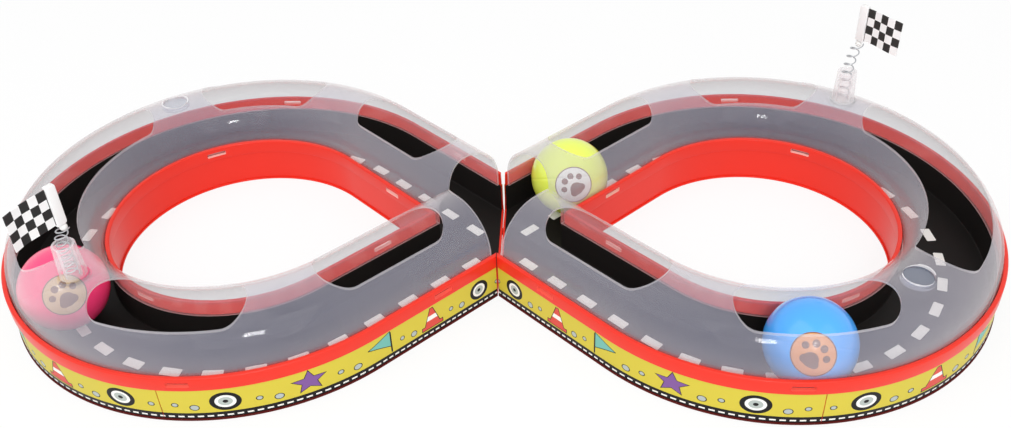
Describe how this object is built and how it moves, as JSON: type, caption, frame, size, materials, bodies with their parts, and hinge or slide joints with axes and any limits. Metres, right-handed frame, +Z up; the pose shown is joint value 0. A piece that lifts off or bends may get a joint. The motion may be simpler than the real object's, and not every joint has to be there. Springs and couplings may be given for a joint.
{
  "type": "cat ball track toy",
  "caption": "Figure-8 ball track for cats: two red channel loops under clear half-round covers with paw windows, rolling balls and spring-mounted chequered flags.",
  "frame": {"origin": "on the ground at the centre of the crossing, where the two halves meet", "axes": "+Z up, +X along the track towards the right loop, +Y to the far side"},
  "size_m": [0.4838, 0.2268, 0.101],
  "materials": {
    "base": "moulded, glossy",
    "liner": "thin moulded sheet",
    "lane_dashes": "printed white",
    "label_near": "printed film",
    "label_end": "printed film",
    "label_far": "printed film",
    "cover": "clear, slightly milky",
    "flag_cup": "clear, slightly milky",
    "flag_spring": "bright wire",
    "flag_plug": "moulded",
    "flag_pole": "moulded",
    "flag_panel": "printed sheet",
    "pink_ball": "hollow, glossy",
    "yellow_ball": "hollow, glossy",
    "blue_ball": "hollow, glossy"
  },
  "bodies": {
    "track": {"left_base": "base", "left_liner": "liner", "left_lane_dashes": "lane_dashes", "left_label_near": "label_near", "left_label_end": "label_end", "left_label_far": "label_far", "right_base": "base", "right_liner": "liner", "right_lane_dashes": "lane_dashes", "right_label_near": "label_near", "right_label_end": "label_end", "right_label_far": "label_far"},
    "left_cover": {"left_cover": "cover", "left_flag_cup": "flag_cup", "left_flag_spring": "flag_spring"},
    "left_flag_plug": {"left_flag_plug": "flag_plug"},
    "left_flag": {"left_flag_pole": "flag_pole", "left_flag_panel": "flag_panel"},
    "right_cover": {"right_cover": "cover", "right_flag_cup": "flag_cup", "right_flag_spring": "flag_spring"},
    "right_flag_plug": {"right_flag_plug": "flag_plug"},
    "right_flag": {"right_flag_pole": "flag_pole", "right_flag_panel": "flag_panel"},
    "pink_ball": {"pink_ball": "pink_ball"},
    "yellow_ball": {"yellow_ball": "yellow_ball"},
    "blue_ball": {"blue_ball": "blue_ball"}
  },
  "joints": [
    {"name": "left_cover_lift", "type": "slide", "parent": "track", "child": "left_cover", "axis": [0, 0, 1], "range_m": [0, 0.06]},
    {"name": "left_flag_sway", "type": "hinge", "parent": "left_cover", "child": "left_flag_plug", "pos_m": [-0.17806, -0.07182, 0.07245], "axis": [1, 0, 0], "range_deg": [-25, 25], "stiffness_Nm_per_rad": 0.01},
    {"name": "left_flag_nod", "type": "hinge", "parent": "left_flag_plug", "child": "left_flag", "pos_m": [-0.17806, -0.07182, 0.07245], "axis": [0, 1, 0], "range_deg": [-25, 25], "stiffness_Nm_per_rad": 0.01},
    {"name": "right_cover_lift", "type": "slide", "parent": "track", "child": "right_cover", "axis": [0, 0, 1], "range_m": [0, 0.06]},
    {"name": "right_flag_sway", "type": "hinge", "parent": "right_cover", "child": "right_flag_plug", "pos_m": [0.18406, 0.07182, 0.07945], "axis": [1, 0, 0], "range_deg": [-25, 25], "stiffness_Nm_per_rad": 0.01},
    {"name": "right_flag_nod", "type": "hinge", "parent": "right_flag_plug", "child": "right_flag", "pos_m": [0.18406, 0.07182, 0.07945], "axis": [0, 1, 0], "range_deg": [-25, 25], "stiffness_Nm_per_rad": 0.01},
    {"name": "pink_ball_run", "type": "hinge", "parent": "track", "child": "pink_ball", "pos_m": [-0.1285, 0, 0], "axis": [0, 0, -1], "range_deg": [-96, 171]},
    {"name": "blue_ball_run", "type": "hinge", "parent": "track", "child": "blue_ball", "pos_m": [0.1285, 0, 0], "axis": [0, 0, 1], "range_deg": [-48, 219]},
    {"name": "yellow_ball_run", "type": "slide", "parent": "track", "child": "yellow_ball", "axis": [-0.7213, -0.6926, 0], "range_m": [-0.044, 0.141]}
  ]
}
